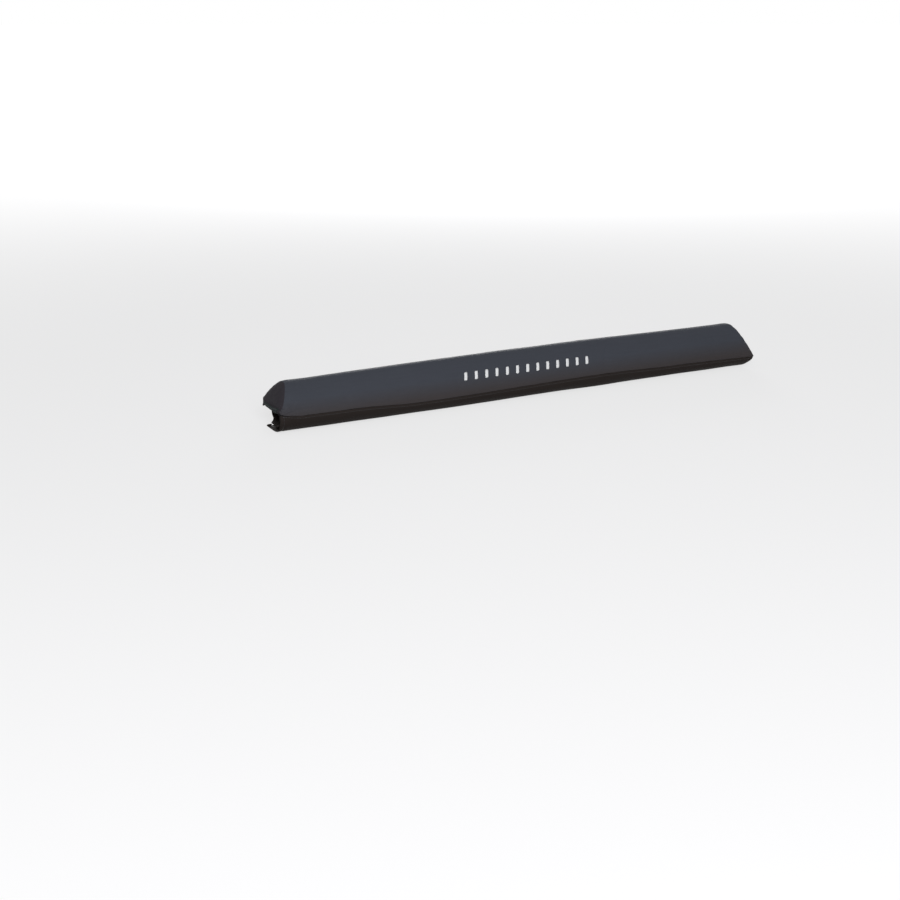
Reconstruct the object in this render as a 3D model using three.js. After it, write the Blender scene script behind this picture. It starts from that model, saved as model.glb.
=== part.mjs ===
// Roof rack pad: a foam block in a sewn cover, with two flaps that wrap the bar and close underneath.
// Millimetres. X runs along the bar, the front face looks towards -Y, +Z is up.
// The origin is under the middle of the pad, at the underside of the closed flaps.

import * as THREE from 'three';

// Overall form
const padLength = 710;         // between the end faces, at the belt
const beltHeight = 20.3;       // from the underside up to the belt, the widest level
const beltHalfWidth = 36;      // from the middle plane out to the belt
const crestRise = 36.4;        // from the belt up to the crest, at the ends
const crestHalfFlat = 4;       // half the width of the flat along the crest
const crown = 2.4;             // how much higher the crest is at mid-length
const endLean = 0.495;         // how far an end face leans inwards for each millimetre of height
const sidePower = 1.2;         // how straight the sides leave the belt
const crestPower = 1.7;        // how full the gable is near the crest

// Lower corners, which tuck in towards the bar at each end
const cornerTuck = 3;
const tuckHeight = 10;         // how far the tuck reaches above and below the belt
const shoulderLength = 14;     // how far it reaches along the pad

// Cloth, foam and their running clearances
const fabric = 1;
const gap = 0.3;               // between any two pieces
const foamEase = 0.5;          // between the foam and the cloth round it
const seatRise = 2;            // from the belt up to the face that lies on the bar

// Closure under the bar
const flapOverhang = 1;        // flap ends, beyond the end faces at the belt
const tapeWidth = 20;
const tapeThickness = 1;       // of the hook strip and of the loop strip
const tapeEndInset = 6;        // strip ends, behind the flap ends
const tapeMargin = 1;          // flat cloth beyond the strip where a flap comes down to it
const flapHem = 3;             // flat cloth beyond the strip at a flap's free edge

// Binding along the lower edge of an end panel
const binding = 1;
const bindingHeight = 5.5;
const bindingReturn = 6;       // the leg folded under the lining

// Print on the front face: a plain row of slanted bars
const markCount = 13;
const markPitch = 15.2;
const markWidth = 4.4;
const markLow = 14.5;          // lower edge, above the belt
const markHigh = 22.5;         // upper edge, above the belt
const markLean = 0.35;
const markCentre = -11;        // middle of the row, along the pad
const markThickness = 0.5;

// Fineness of the round stretches and of the stations along the pad
const sideSteps = 12;
const flapSteps = 10;
const stations = 24;
const endCrowding = 2.5;       // how strongly the stations close up towards the ends
const markSteps = 2;

const alongX = Math.hypot(1, endLean);    // a thickness square to an end face, measured along X
const seatHeight = beltHeight + seatRise;
const crestTurn = Math.acos((crestHalfFlat / beltHalfWidth) ** (crestPower / 2));
const gableHeight = crestRise / Math.sin(crestTurn) ** (2 / sidePower);
const flapFlat = tapeWidth / 2 + tapeMargin;
const flapEdge = tapeWidth / 2 + flapHem;
const flapHalfLength = padLength / 2 + flapOverhang;
const loopBottom = fabric + gap;
const hookBottom = loopBottom + tapeThickness + gap;
const rearFlapBottom = hookBottom + tapeThickness + gap;

const vec = (x, y) => new THREE.Vector2(x, y);

// Half the pad's length at a height, out to the face of the end panel
const endFace = (z) => padLength / 2 - endLean * (z - beltHeight);

// The angle round the gable curve at a rise above the belt, and the point of the curve at an angle
const turnAt = (rise) => Math.asin((rise / gableHeight) ** (sidePower / 2));
const gablePoint = (turn) => vec(
  beltHalfWidth * Math.cos(turn) ** (2 / crestPower),
  beltHeight + gableHeight * Math.sin(turn) ** (2 / sidePower),
);

// Moves each point of an open outline to its left by a distance, or to its right if that is negative.
function offset(points, distance) {
  return points.map((point, i) => {
    const before = points[Math.max(i - 1, 0)];
    const after = points[Math.min(i + 1, points.length - 1)];
    const along = vec(after.x - before.x, after.y - before.y).normalize();
    return vec(point.x - along.y * distance, point.y + along.x * distance);
  });
}

// Keeps what lies above a level of an outline that runs from one side over the top to the other.
function above(outline, level) {
  const first = outline.findIndex((p) => p.y > level);
  const last = outline.findLastIndex((p) => p.y > level);
  const cut = (inside, outside) => (
    inside.clone().lerp(outside, (inside.y - level) / (inside.y - outside.y))
  );
  return [
    cut(outline[first], outline[first - 1]),
    ...outline.slice(first, last + 1),
    cut(outline[last], outline[last + 1]),
  ];
}

// The gable from the rear side over the crest to the front side, starting at a rise above the belt
// and lying inside the cover's face by an inset.
function gable(rise, inset) {
  const rear = [];
  for (let i = 0; i <= sideSteps; i++) {
    rear.push(gablePoint(crestTurn * i / sideSteps));
  }
  const front = rear.map((p) => vec(-p.x, p.y)).reverse();
  return above(offset([...rear, ...front], inset), beltHeight + rise);
}

// The front flap's path: a quarter ellipse from the belt down to its lowest level, then flat under
// the bar to its free edge. The rear flap's path is its mirror image.
function flapPath(bottom) {
  const top = beltHeight - gap / 2;
  const path = [];
  for (let i = 0; i <= flapSteps; i++) {
    const turn = Math.PI / 2 * i / flapSteps;
    path.push(vec(
      -flapFlat - (beltHalfWidth - flapFlat) * Math.cos(turn),
      top - (top - bottom) * Math.sin(turn),
    ));
  }
  path.push(vec(flapEdge, bottom));
  return path;
}

// The pad's soft form: the crest crowns along the pad, and the lower corners tuck in at each end.
function softForm(x, y, z) {
  const rise = z - beltHeight;
  const crownHere = crown * Math.max(rise, 0) / crestRise;
  const alongCrown = Math.max(1 - (2 * x / padLength) ** 2, 0);
  const fromEnd = Math.max(endFace(z) - Math.abs(x), 0);
  const nearEnd = Math.max(1 - fromEnd / shoulderLength, 0) ** 2;
  const nearBelt = Math.max(1 - (rise / tuckHeight) ** 2, 0);
  const narrowing = cornerTuck * nearEnd * nearBelt / beltHalfWidth;
  return [x, y * (1 - narrowing), z + crownHere * alongCrown];
}

// Runs a cross-section along the pad. lengthAt gives x for a height and for a place s, from -1 to 1.
function runAlong(section, steps, lengthAt) {
  const geometry = new THREE.ExtrudeGeometry(new THREE.Shape(section), { steps, bevelEnabled: false });
  geometry.computeBoundingBox();
  const depth = geometry.boundingBox.max.z;
  const corner = geometry.attributes.position;
  for (let i = 0; i < corner.count; i++) {
    const y = corner.getX(i);
    const z = corner.getY(i);
    corner.setXYZ(i, ...softForm(lengthAt(z, 2 * corner.getZ(i) / depth - 1), y, z));
  }
  geometry.computeVertexNormals();
  return geometry;
}

// Stations close up towards the ends, where the form changes most.
const closingUp = (s) => Math.sign(s) * (1 - (1 - Math.abs(s)) ** endCrowding);

const behindEndPanel = (z, s) => closingUp(s) * (endFace(z) - (fabric + gap) * alongX);
const withFlapEnds = (z, s) => closingUp(s) * flapHalfLength;
const leftEnd = (z, s) => -endFace(z) + (s + 1) / 2 * fabric * alongX;

function finish(color, roughness) {
  return new THREE.MeshStandardMaterial({ color, roughness, metalness: 0 });
}

function piece(name, geometry, material) {
  const mesh = new THREE.Mesh(geometry, material);
  mesh.name = name;
  return mesh;
}

// The foam fills the cover down to the lining.
function foamCore() {
  const bottomRise = seatRise + fabric + foamEase;
  return runAlong(gable(bottomRise, fabric + foamEase), stations, behindEndPanel);
}

function topPanel() {
  const section = [...gable(gap / 2, 0), ...gable(gap / 2, fabric).reverse()];
  return runAlong(section, stations, behindEndPanel);
}

function endPanel() {
  return runAlong(gable(seatRise, 0), 1, leftEnd);
}

// The lining is as wide as the cover's inside at its two faces.
function baseLining() {
  const lower = gable(seatRise, fabric + gap);
  const upper = gable(seatRise + fabric, fabric + gap);
  return runAlong([lower[0], upper[0], upper.at(-1), lower.at(-1)], stations, behindEndPanel);
}

function frontFlap() {
  const outside = flapPath(0);
  return runAlong([...outside, ...offset(outside, fabric).reverse()], stations, withFlapEnds);
}

function rearFlap() {
  const outside = flapPath(rearFlapBottom);
  const section = [...outside, ...offset(outside, fabric).reverse()];
  return runAlong(section.map((p) => vec(-p.x, p.y)), stations, withFlapEnds);
}

function closureStrip(bottom) {
  const length = 2 * (flapHalfLength - tapeEndInset);
  const geometry = new THREE.BoxGeometry(length, tapeWidth, tapeThickness);
  return geometry.translate(0, 0, bottom + tapeThickness / 2);
}

// Tape folded over the joint of the right end panel and the lining: a leg up the panel's face and a
// leg back under the lining. It spans between the tucked corners.
function endBinding() {
  const legTop = seatHeight + bindingHeight;
  const fold = seatHeight - gap;
  const bottom = fold - binding;
  const inner = (z) => endFace(z) + gap * alongX;
  const outer = (z) => inner(z) + binding * alongX;
  const legEnd = endFace(seatHeight) - bindingReturn;
  const section = [
    vec(legEnd, bottom), vec(outer(bottom), bottom), vec(outer(legTop), legTop),
    vec(inner(legTop), legTop), vec(inner(fold), fold), vec(legEnd, fold),
  ];
  const halfSpan = beltHalfWidth - cornerTuck - fabric - 2 * gap;
  const geometry = new THREE.ExtrudeGeometry(new THREE.Shape(section), {
    depth: 2 * halfSpan, bevelEnabled: false,
  });
  return geometry.rotateX(Math.PI / 2).translate(0, halfSpan, 0);
}

// One slanted bar of the print, lying on the front face.
function mark(centre) {
  const low = turnAt(markLow);
  const high = turnAt(markHigh);
  const face = [];
  for (let i = 0; i <= markSteps; i++) {
    const p = gablePoint(high + (low - high) * i / markSteps);
    face.push(vec(-p.x, p.y));
  }
  const section = [...offset(face, -gap - markThickness), ...offset(face, -gap).reverse()];
  const middle = beltHeight + (markLow + markHigh) / 2;
  return runAlong(section, 1, (z, s) => centre + s * markWidth / 2 + markLean * (z - middle));
}

const cover = finish('#41444c', 0.62);
const endCloth = finish('#353338', 0.66);
const flapCloth = finish('#2d2826', 0.7);
const lining = finish('#1d1c1e', 0.8);
const tape = finish('#1b1a1c', 0.75);
const foam = finish('#2a2b2e', 0.9);
const hookPlastic = finish('#141416', 0.55);
const loopPile = finish('#18181a', 0.95);
const ink = finish('#e4e6ea', 0.5);

const pad = new THREE.Group();
pad.add(
  piece('foam_core', foamCore(), foam),
  piece('top_panel', topPanel(), cover),
  piece('end_panel_left', endPanel(), endCloth),
  piece('end_panel_right', endPanel(), endCloth),
  piece('base_lining', baseLining(), lining),
  piece('front_flap', frontFlap(), flapCloth),
  piece('rear_flap', rearFlap(), flapCloth),
  piece('loop_strip', closureStrip(loopBottom), loopPile),
  piece('hook_strip', closureStrip(hookBottom), hookPlastic),
  piece('end_binding_left', endBinding(), tape),
  piece('end_binding_right', endBinding(), tape),
);
pad.getObjectByName('end_panel_right').rotation.z = Math.PI;
pad.getObjectByName('end_binding_left').rotation.z = Math.PI;

for (let i = 0; i < markCount; i++) {
  const centre = markCentre + (i - (markCount - 1) / 2) * markPitch;
  pad.add(piece(`mark_${String(i + 1).padStart(2, '0')}`, mark(centre), ink));
}

export default pad;
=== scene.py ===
"""Roof rack pad: foam in a sewn cover, whose two flaps wrap the bar and close underneath."""

import math

import bmesh
import bpy
from bpy.props import FloatProperty, FloatVectorProperty, PointerProperty
from mathutils import Matrix, Vector, kdtree, noise
from mathutils.bvhtree import BVHTree


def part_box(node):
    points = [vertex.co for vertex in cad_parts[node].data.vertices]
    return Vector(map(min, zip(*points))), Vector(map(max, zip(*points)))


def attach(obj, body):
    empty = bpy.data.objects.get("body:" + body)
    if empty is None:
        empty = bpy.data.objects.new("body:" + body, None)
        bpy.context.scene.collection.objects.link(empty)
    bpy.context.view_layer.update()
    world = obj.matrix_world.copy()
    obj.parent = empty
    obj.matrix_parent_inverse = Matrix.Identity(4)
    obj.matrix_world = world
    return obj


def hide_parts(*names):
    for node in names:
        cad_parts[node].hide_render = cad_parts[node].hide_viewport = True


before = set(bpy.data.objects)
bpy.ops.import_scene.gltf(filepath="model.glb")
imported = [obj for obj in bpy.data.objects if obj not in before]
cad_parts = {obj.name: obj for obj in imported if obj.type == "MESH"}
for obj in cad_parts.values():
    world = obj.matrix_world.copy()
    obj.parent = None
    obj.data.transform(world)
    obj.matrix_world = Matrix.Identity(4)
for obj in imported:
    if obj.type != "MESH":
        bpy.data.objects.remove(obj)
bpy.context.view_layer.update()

bl_info = {
    "name": "Roof rack pad",
    "version": (1, 0, 0),
    "blender": (4, 5, 0),
    "location": "3D View > Sidebar > Rack pad",
    "description": "Sews the cover, flaps, tapes and print of a roof rack pad round its frame",
    "category": "Object",
}

MM = 0.001
BODY = "root"

# Measures of the frame
TOP_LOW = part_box("top_panel")[0]
FLAP_LOW, FLAP_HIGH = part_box("front_flap")
END_LOW, END_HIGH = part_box("end_panel_right")
BINDING_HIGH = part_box("end_binding_right")[1]
STRIP_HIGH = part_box("loop_strip")[1]
BELT_HALF_WIDTH = -FLAP_LOW.y
BELT_HEIGHT = (FLAP_HIGH.z + TOP_LOW.z) / 2
SEAT_HEIGHT = END_LOW.z

# The curves of the frame's soft form
SIDE_POWER = 1.2
CREST_POWER = 1.7
CREST_HALF_FLAT = 4 * MM
CREST_RISE = 36.4 * MM
CROWN = 3.6 * MM
END_LEAN = 0.495
FLAP_MARGIN = 1 * MM
HALF_LENGTH = END_HIGH.x + END_LEAN * (SEAT_HEIGHT - BELT_HEIGHT)
CREST_TURN = math.acos((CREST_HALF_FLAT / BELT_HALF_WIDTH) ** (CREST_POWER / 2))
GABLE_HEIGHT = CREST_RISE / math.sin(CREST_TURN) ** (2 / SIDE_POWER)

# How far each end (-1 left) reaches out beyond the straight form, in mm: the terms of a quadratic
# in the share of the rise
END_REACH = {-1: (0.2, 3.6, -3.3), 1: (3.9, -9.0, 6.8)}

# How far each lower corner tucks in across the pad and is drawn back along it, by end and side (-1 front)
CORNER_TUCK = {(-1, -1): 6.5 * MM, (-1, 1): 10 * MM, (1, -1): 0.0, (1, 1): 5 * MM}
CORNER_DRAW = {(-1, -1): 0.0, (-1, 1): 1.3 * MM, (1, -1): 0.7 * MM, (1, 1): 0.0}
TUCK_HEIGHT = 10 * MM
TUCK_DEPTH = 21 * MM
DRAW_HEIGHT = 6 * MM
SHOULDER = 14 * MM

# The belt crease wanders: places along the pad and how far the crease rises there, in mm
FRONT_CREASE = ((-355, 5.5), (-325, 2), (-265, 1.5), (-165, -2.5), (110, 0.5), (220, -2),
                (355, -4.5))
REAR_CREASE = ((-355, 1.0), (-300, -1), (-210, 0.5), (-40, -2), (170, 1), (355, -2))
CREASE_REACH = 16 * MM

# At each end the seat arches up over the bar's crown, most a little behind the middle
SEAT_ARCH = 3.6 * MM
ARCH_MIDDLE = 13 * MM
ARCH_REACH = 12 * MM

# How much the stations of the gable, the cover and the flaps close up towards their ends
GABLE_CROWDING, COVER_CROWDING, FLAP_CROWDING = 1.2, 1.5, 1.35


# Sizes and colours


def length(name, description, mm):
    """A size property, given in millimetres and kept in metres."""
    return FloatProperty(
        name=name, description=description, default=mm * MM, min=0, unit="LENGTH", precision=4)


def colour(name, description, code):
    """A colour property, given as an sRGB hex code and kept linear."""
    return FloatVectorProperty(
        name=name, description=description, default=linear(code), size=4, min=0, max=1, subtype="COLOR")


def linear(code):
    """Linear RGBA of an sRGB hex code."""
    parts = [int(code[i:i + 2], 16) / 255 for i in (0, 2, 4)]
    return tuple(c / 12.92 if c <= 0.04045 else ((c + 0.055) / 1.055) ** 2.4 for c in parts) + (1.0,)


class PadSizes(bpy.types.PropertyGroup):
    """Sizes of the sewn pieces."""
    cloth: length("Cloth", "Thickness of the cover and flap cloth", 0.8)
    seam_depth: length("Seam depth", "How deep the cloth draws in at a seam", 0.3)
    seam_allowance: length("Seam allowance", "Cloth turned inwards at a seam", 1.8)
    ridge: length("Ridge", "How far the cloth puffs out beside an end seam", 0.7)
    pucker: length("Pucker", "Height of the puckers along an end seam", 0.45)
    puff_limit: length("Puff limit", "The farthest that the simulation may move the cloth", 2.5)
    foam_inset: length("Foam inset", "From the face of the cover in to the foam", 2.4)
    end_hem: length("End hem", "Width of the hem across each end of a flap", 5)
    edge_hem: length("Edge hem", "Width of the hem along the free edge of a flap", 2.6)
    stitch: length("Stitch", "Length of one stitch, with its gap", 3.6)
    thread: length("Thread", "Thickness of the sewing thread", 0.55)
    tape: length("Tape", "Thickness of the binding tape", 0.8)
    film: length("Film", "Thickness of the print", 0.15)
    weave: length("Weave", "Pitch at which the weave is drawn", 1.3)


class PadColours(bpy.types.PropertyGroup):
    """Colours of the pieces."""
    # Dark grey cloth with a blue tint, which is painted skylight
    cover: colour("Cover", "Main panel", "44474f")
    # Painted shade with a warm painted reflection, on the main panel near the belt
    cover_painted_shade: colour("Cover, low down", "Main panel near the belt", "413d3e")
    # Painted shade: the cover's cloth made darker and warmer on the ends
    end_cloth: colour("End cloth", "End panels", "39363b")
    # Painted shade with a warm painted reflection: the same cloth made brown-black where it faces down
    # under the belt
    flap_cloth: colour("Flap cloth", "Flaps under the belt", "2e2927")
    lining: colour("Lining", "Cloth that lies on the bar", "1d1c1e")
    binding_tape: colour("Binding tape", "Tape along the ends", "343b3b")
    foam: colour("Foam", "Foam block", "2a2b2e")
    hook_tape: colour("Hook tape", "Hook side of the closure", "141416")
    loop_pile: colour("Loop pile", "Loop side of the closure", "18181a")
    print: colour("Print", "Bars on the front face", "f2f3f5")
    thread: colour("Thread", "Sewing thread", "25252a")
    floor: colour("Floor", "Floor and backdrop", "8a8a8c")


# Form


def spread(place, crowding):
    """Moves a place from -1 to 1 outwards, so that stations close up towards the ends."""
    return math.copysign(1 - (1 - abs(place)) ** crowding, place)


def smooth(t):
    """Eases t from 0 to 1."""
    t = min(max(t, 0), 1)
    return t * t * (3 - 2 * t)


def walk(points, share):
    """The point at a share of a polyline's length."""
    steps = [(q - p).length for p, q in zip(points, points[1:])]
    left = share * sum(steps)
    for p, q, step in zip(points, points[1:], steps):
        if left <= step:
            return p.lerp(q, left / step)
        left -= step
    return points[-1].copy()


def path_length(points):
    """How long a polyline is."""
    return sum((q - p).length for p, q in zip(points, points[1:]))


def gable_curve(steps=120):
    """The gable from the rear belt over the crest to the front belt, as points of y and z."""
    rear = []
    for i in range(steps + 1):
        turn = CREST_TURN * i / steps
        rear.append(Vector((
            BELT_HALF_WIDTH * math.cos(turn) ** (2 / CREST_POWER),
            BELT_HEIGHT + GABLE_HEIGHT * math.sin(turn) ** (2 / SIDE_POWER),
        )))
    return rear + [Vector((-p.x, p.y)) for p in reversed(rear)]


def end_face(z):
    """Half the pad's length at a height."""
    return HALF_LENGTH - END_LEAN * (z - BELT_HEIGHT)


def between(points, place):
    """Eases between neighbouring pairs of a place and a value in millimetres."""
    place = min(max(place, points[0][0]), points[-1][0])
    for (p, low), (q, high) in zip(points, points[1:]):
        if place <= q:
            return (low + (high - low) * smooth((place - p) / (q - p))) * MM


def crease_rise(x, side):
    """How far the belt crease rises at a place along the pad."""
    return between(FRONT_CREASE if side < 0 else REAR_CREASE, x / MM)


def soft_form(p):
    """Turns a point of the straight form into the pad's soft one."""
    x, y, z = p
    rise = z - BELT_HEIGHT
    side, end = math.copysign(1, y), math.copysign(1, x)
    crown = CROWN * max(rise, 0) / CREST_RISE * max(1 - (x / HALF_LENGTH) ** 2, 0)
    near_end = max(1 - max(end_face(z) - abs(x), 0) / SHOULDER, 0) ** 2
    near_belt = max(1 - (rise / (TUCK_HEIGHT if rise > 0 else TUCK_DEPTH)) ** 2, 0)
    narrowing = CORNER_TUCK[end, side] * near_end * near_belt / BELT_HALF_WIDTH
    outward = smooth(abs(y) / BELT_HALF_WIDTH) ** 2
    wander = crease_rise(x, side) * outward * math.exp(-(rise / CREASE_REACH) ** 2)
    arch = SEAT_ARCH * near_end * max(1 - abs(z - SEAT_HEIGHT) / ARCH_REACH, 0)
    arch *= max(1 - ((y - ARCH_MIDDLE) / (BELT_HALF_WIDTH + ARCH_MIDDLE)) ** 2, 0)
    share = min(max(rise / CREST_RISE, 0), 1)
    belt, linear_part, square_part = END_REACH[end]
    reach = end * (belt + linear_part * share + square_part * share ** 2) * MM * near_end
    low_down = max(1 - (rise / DRAW_HEIGHT) ** 2, 0)
    reach -= end * CORNER_DRAW[end, side] * near_end * outward * low_down
    return Vector((x + reach, y * (1 - narrowing), z + crown + wander + arch))


# Mesh helpers


def make_object(name, bm, material, slot, replaced=(), shade=True):
    """A finished piece from a bmesh: it rides on the pad and stands for frame nodes."""
    mesh = bpy.data.meshes.new(name)
    bm.to_mesh(mesh)
    bm.free()
    piece = bpy.data.objects.new(name, mesh)
    bpy.context.scene.collection.objects.link(piece)
    mesh.materials.clear()
    mesh.materials.append(material)
    if shade:
        mesh.shade_smooth()
    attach(piece, BODY)
    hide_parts(*replaced)
    return piece


def thicken(piece, thickness):
    """Gives a cloth its thickness, inwards from the face."""
    wall = piece.modifiers.new("thickness", "SOLIDIFY")
    wall.thickness = thickness
    wall.offset = -1
    wall.use_even_offset = False


def divided_box(size, parts):
    """A closed box round the origin, with its faces split into parts along each axis."""
    bm = bmesh.new()
    bmesh.ops.create_cube(bm, size=size)
    for axis, count in enumerate(parts):
        if count > 1:
            edges = [e for e in bm.edges if abs(e.verts[0].co[axis] - e.verts[1].co[axis]) > NEARLY_NONE]
            bmesh.ops.subdivide_edges(bm, edges=edges, cuts=count - 1, use_grid_fill=True)
    return bm


def lay_cloth(columns, rows, lay):
    """A grid of cloth. A function lays each point, from -1 to 1 along and 0 to 1 down, and gives its place
    in space and on the cloth, which are kept as well."""
    bm = bmesh.new()
    bmesh.ops.create_grid(bm, x_segments=columns, y_segments=rows, size=1)
    layer = bm.loops.layers.uv.verify()
    spots = {}
    for v in bm.verts:
        v.co, spots[v] = lay(v.co.x, (1 - v.co.y) / 2)
    for face in bm.faces:
        for loop in face.loops:
            loop[layer].uv = spots[loop.vert]
    return bm, spots


def grow(bm, edges):
    """Grows a strip of cloth from edges, and gives its new vertices."""
    return [v for v in bmesh.ops.extrude_edge_only(bm, edges=edges)["geom"]
            if isinstance(v, bmesh.types.BMVert)]


def height_of(face):
    """Height of a face's middle."""
    return face.calc_center_median().z


def face_towards(bm, face, direction):
    """Turns all the faces over where this one faces away from a direction."""
    bm.normal_update()
    if face.normal.dot(Vector(direction)) < 0:
        bmesh.ops.reverse_faces(bm, faces=bm.faces[:])
        bm.normal_update()


def relax(bm, verts):
    """Eases vertices towards their neighbours."""
    for _ in range(RELAX_ROUNDS):
        bmesh.ops.smooth_vert(bm, verts=verts, factor=0.5, use_axis_x=True, use_axis_y=True,
                              use_axis_z=True)


NEARLY_NONE = 1e-4
RELAX_ROUNDS = 3


def set_uv(bm, place):
    """Writes the cloth's own coordinates, in metres, to its UV map."""
    layer = bm.loops.layers.uv.verify()
    for face in bm.faces:
        for loop in face.loops:
            loop[layer].uv = place(loop.vert.co, face)


def surface_of(name):
    """A search tree over a piece's bare mesh, or over the whole pocket's."""
    bm = bmesh.new()
    bm.from_mesh(bpy.data.meshes[name])
    tree = BVHTree.FromBMesh(bm)
    bm.free()
    return tree


def add(tree, kind, inputs=(), **settings):
    """Adds one node, sets its properties, and fills its inputs with values or links."""
    made = tree.nodes.new("ShaderNode" + kind)
    for name, value in settings.items():
        setattr(made, name, value)
    for name, value in dict(inputs).items():
        socket = made.inputs[name]
        if isinstance(value, bpy.types.NodeSocket):
            tree.links.new(value, socket)
        else:
            socket.default_value = value
    return made


def start_material(name):
    """An empty node material, and its tree."""
    material = bpy.data.materials.new(name)
    material.use_nodes = True
    tree = material.node_tree
    tree.nodes.clear()
    return material, tree


# Cover


POCKET = "whole_pocket"
END_BELLY = 4 * MM
TOP, LEFT, RIGHT, BASE = range(4)
ALONG, ACROSS, UP = 236, 16, 11        # faces of the pocket along the pad, over its top and up its side
GABLE = gable_curve()
SIDE_SHARE = UP / (2 * UP + ACROSS)
ON_FACE = 0.9999
SEAT_POWER = 8


def gable_at(share):
    """The gable at a share of its length, with the stations closed up towards the belt."""
    return walk(GABLE, (1 + spread(2 * share - 1, GABLE_CROWDING)) / 2)


def pocket_section(b, c):
    """A point of the pocket's cross-section, for b from front to rear and c from bottom to top."""
    e, g = (b + 1) / 2, (c + 1) / 2

    def bottom(place):
        lift = (SEAT_HEIGHT - BELT_HEIGHT) * (1 - abs(place) ** SEAT_POWER)
        return Vector((place * BELT_HALF_WIDTH, BELT_HEIGHT + lift))

    def top(place):
        return gable_at(SIDE_SHARE + (1 - 2 * SIDE_SHARE) * (1 - place) / 2)

    rear = gable_at(SIDE_SHARE * (c + 1) / 2)
    front = Vector((-rear.x, rear.y))
    corners = (bottom(-1) * (1 - g) * (1 - e) + bottom(1) * (1 - g) * e
               + top(-1) * g * (1 - e) + top(1) * g * e)
    return bottom(b) * (1 - g) + top(b) * g + front * (1 - e) + rear * e - corners


def pocket(inset=0.0):
    """The closed pocket as one quad mesh. Each face's material index says which panel it is on."""
    bm = divided_box(2, (ALONG, ACROSS, UP))
    for face in bm.faces:
        a, b, c = face.calc_center_median()
        end = LEFT if a < -ON_FACE else RIGHT if a > ON_FACE else None
        face.material_index = end or (BASE if c < -ON_FACE else TOP)
    sections = {}
    for v in bm.verts:
        a, b, c = v.co
        key = round(b, 4), round(c, 4)
        if key not in sections:
            sections[key] = pocket_section(b, c)
        y, z = sections[key]
        belly = math.copysign(END_BELLY * (1 - b * b) * (1 - c * c), a) if abs(a) > ON_FACE else 0.0
        v.co = soft_form((spread(a, COVER_CROWDING) * end_face(z), y, z)) + Vector((belly, 0, 0))
    bmesh.ops.recalc_face_normals(bm, faces=bm.faces[:])
    if inset:
        bm.normal_update()
        moves = [(v, v.normal * inset) for v in bm.verts]
        for v, move in moves:
            v.co -= move
    return bm


def seam_verts(bm, *panels):
    """Vertices between two different panels, of the panels named."""
    found = set()
    for edge in bm.edges:
        sides = {f.material_index for f in edge.link_faces}
        if len(sides) == 2 and sides <= set(panels):
            found.update(edge.verts)
    return found


def blow_up(bm):
    """Fills the pocket: a cloth simulation in which the seams stay put, the foam bears the crest and
    the panels between them puff out."""
    sizes = bpy.context.scene.pad_sizes
    mesh = bpy.data.meshes.new("pocket")
    bm.to_mesh(mesh)
    piece = bpy.data.objects.new("pocket", mesh)
    bpy.context.scene.collection.objects.link(piece)
    seams = seam_verts(bm, TOP, LEFT, RIGHT, BASE)
    base = {v for f in bm.faces if f.material_index == BASE for v in f.verts}
    held = piece.vertex_groups.new(name="held")
    for v in bm.verts:
        crest = smooth(((v.co.z - BELT_HEIGHT) / CREST_RISE - CREST_FROM) / CREST_EASE)
        held.add([v.index], HOLD_BETWEEN + (HOLD_CREST - HOLD_BETWEEN) * crest, "REPLACE")
    held.add([v.index for v in seams | base], 1.0, "REPLACE")
    cloth = piece.modifiers.new("cloth", "CLOTH")
    settings = cloth.settings
    settings.quality = 5
    settings.mass = 0.3
    settings.tension_stiffness = settings.compression_stiffness = 15
    settings.shear_stiffness = 5
    settings.bending_stiffness = 2
    settings.use_pressure = True
    settings.uniform_pressure_force = PRESSURE
    settings.shrink_min = -SPARE_CLOTH
    settings.vertex_group_mass = "held"
    settings.pin_stiffness = HOLD_STIFFNESS
    settings.effector_weights.gravity = 0
    cloth.collision_settings.use_collision = False
    cloth.collision_settings.use_self_collision = False
    for number in range(1, SIM_FRAMES + 1):
        bpy.context.scene.frame_set(number)
    blown = piece.evaluated_get(bpy.context.evaluated_depsgraph_get()).data
    bm.verts.ensure_lookup_table()
    for v in bm.verts:
        move = blown.vertices[v.index].co - v.co
        v.co += move * min(1, sizes.puff_limit / max(move.length, 1e-9))
    bpy.context.scene.frame_set(1)
    bpy.data.objects.remove(piece)


PRESSURE = 4.0
SPARE_CLOTH = 0.001
HOLD_BETWEEN = 0.06
HOLD_CREST = 0.7
CREST_FROM, CREST_EASE = 0.7, 0.2
HOLD_STIFFNESS = 1.0
SIM_FRAMES = 20


def refine(bm):
    """One step of subdivision, which keeps the seams sharp and the panels' material indices."""
    sharp = bm.edges.layers.float.new("crease_edge")
    for edge in bm.edges:
        if len({f.material_index for f in edge.link_faces}) == 2:
            edge[sharp] = 1.0
    mesh = bpy.data.meshes.new("coarse")
    bm.to_mesh(mesh)
    bm.clear()
    piece = bpy.data.objects.new("coarse", mesh)
    bpy.context.scene.collection.objects.link(piece)
    finer = piece.modifiers.new("finer", "SUBSURF")
    finer.levels = finer.render_levels = 1
    fine = bpy.data.meshes.new_from_object(piece.evaluated_get(bpy.context.evaluated_depsgraph_get()))
    bm.from_mesh(fine)
    bpy.data.objects.remove(piece)


def corner_folds(p):
    """Small folds that fan out from a lower corner, where the cloth bunches."""
    side = math.copysign(1, p.y)
    along = abs(end_face(p.z) - abs(p.x))
    rise = p.z - BELT_HEIGHT - crease_rise(p.x, side)
    reach = math.hypot(along, rise)
    angle = math.atan2(rise, along + 1 * MM)
    fade = math.exp(-(reach / FOLD_REACH) ** 2 - (angle / FOLD_SPREAD) ** 2) * smooth(reach / FOLD_START)
    strength = (LEFT_FOLDS if p.x < 0 else RIGHT_FOLDS) * (1 if side < 0 else REAR_FOLDS)
    return strength * fade * math.cos(angle * FOLD_COUNT)


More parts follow.
